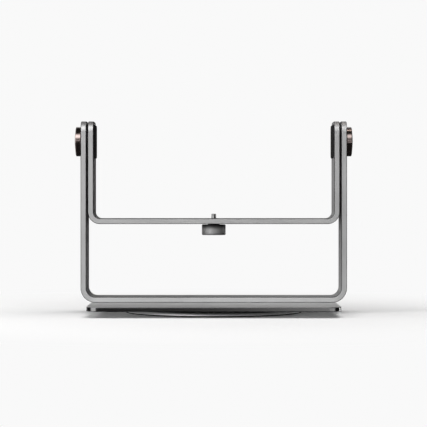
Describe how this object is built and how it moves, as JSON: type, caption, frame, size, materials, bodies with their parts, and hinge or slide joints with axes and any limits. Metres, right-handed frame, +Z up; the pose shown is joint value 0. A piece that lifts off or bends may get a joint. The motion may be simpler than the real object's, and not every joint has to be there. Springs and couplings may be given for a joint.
{
  "type": "tilt and swivel bracket stand",
  "caption": "Desk stand: a U bracket on a turntable base holds a smaller U cradle on clamp knobs, with a captive camera screw in its bar.",
  "frame": {"origin": "on the surface the stand rests on, on the turntable's axis", "axes": "+X along the tilt axis to the right seen from the front, -Y towards the front, +Z up along the turntable's axis"},
  "size_m": [0.3506, 0.25, 0.24],
  "materials": {
    "bar_aluminium": "satin anodised",
    "plate_aluminium": "satin anodised, dark polished rim",
    "disc_aluminium": "turned satin",
    "knob_metal": "glossy dark copper-brown anodised",
    "thumb_aluminium": "dark turned satin",
    "screw_steel": "bright turned",
    "zinc_steel": "zinc plated",
    "dark_steel": "black oxide",
    "ball_steel": "polished",
    "bush_bronze": "sintered",
    "insert_brass": "turned",
    "cage_nylon": "natural nylon",
    "pad_plastic": "fine matt black",
    "washer_fibre": "black fibre",
    "foot_rubber": "matt black"
  },
  "bodies": {
    "turntable": {"turntable_disc": "disc_aluminium", "foot_ring": "foot_rubber", "pivot_stud": "zinc_steel", "pivot_washer": "zinc_steel", "pivot_nut": "zinc_steel"},
    "bearing": {"bearing_cage": "cage_nylon", "bearing_balls": "ball_steel"},
    "swivel": {"base_plate": "plate_aluminium", "outer_bracket": "bar_aluminium", "bracket_screws": "dark_steel", "pivot_bush": "bush_bronze", "left_arm_bush": "bush_bronze", "right_arm_bush": "bush_bronze"},
    "tilt": {"inner_bracket": "bar_aluminium", "left_pivot_bolt": "zinc_steel", "right_pivot_bolt": "zinc_steel", "left_friction_washer": "washer_fibre", "right_friction_washer": "washer_fibre", "left_arm_pad": "pad_plastic", "right_arm_pad": "pad_plastic"},
    "left_clamp": {"left_thrust_washer": "dark_steel"},
    "left_knob": {"left_knob_body": "knob_metal", "left_knob_cap": "knob_metal", "left_knob_insert": "insert_brass"},
    "right_clamp": {"right_thrust_washer": "dark_steel"},
    "right_knob": {"right_knob_body": "knob_metal", "right_knob_cap": "knob_metal", "right_knob_insert": "insert_brass"},
    "screw_float": {"retaining_clip": "dark_steel", "screw_washer": "foot_rubber"},
    "screw": {"mount_screw": "screw_steel", "thumb_knob": "thumb_aluminium"}
  },
  "joints": [
    {"name": "swivel_turn", "type": "hinge", "parent": "turntable", "child": "swivel", "pos_m": [0, 0, 0.0076], "axis": [0, 0, 1], "continuous": true},
    {"name": "bearing_roll", "type": "hinge", "parent": "turntable", "child": "bearing", "pos_m": [0, 0, 0.00635], "axis": [0, 0, 1], "continuous": true},
    {"name": "cradle_tilt", "type": "hinge", "parent": "swivel", "child": "tilt", "pos_m": [0, 0, 0.215], "axis": [1, 0, 0], "continuous": true},
    {"name": "left_knob_slide", "type": "slide", "parent": "tilt", "child": "left_clamp", "axis": [-1, 0, 0], "range_m": [0, 0.00125]},
    {"name": "left_knob_turn", "type": "hinge", "parent": "left_clamp", "child": "left_knob", "pos_m": [-0.17, 0, 0.215], "axis": [-1, 0, 0], "range_deg": [0, 360]},
    {"name": "right_knob_slide", "type": "slide", "parent": "tilt", "child": "right_clamp", "axis": [1, 0, 0], "range_m": [0, 0.00125]},
    {"name": "right_knob_turn", "type": "hinge", "parent": "right_clamp", "child": "right_knob", "pos_m": [0.17, 0, 0.215], "axis": [1, 0, 0], "range_deg": [0, 360]},
    {"name": "screw_drop", "type": "slide", "parent": "tilt", "child": "screw_float", "axis": [0, 0, 1], "range_m": [-0.003, 0]},
    {"name": "screw_spin", "type": "hinge", "parent": "screw_float", "child": "screw", "pos_m": [0, 0, 0.11], "axis": [0, 0, 1], "continuous": true}
  ],
  "couplings": [
    {"joint": "bearing_roll", "follows": "swivel_turn", "ratio": 0.5},
    {"joint": "left_knob_slide", "follows": "left_knob_turn", "m_per_rad": 0.00019894},
    {"joint": "right_knob_slide", "follows": "right_knob_turn", "m_per_rad": 0.00019894}
  ]
}
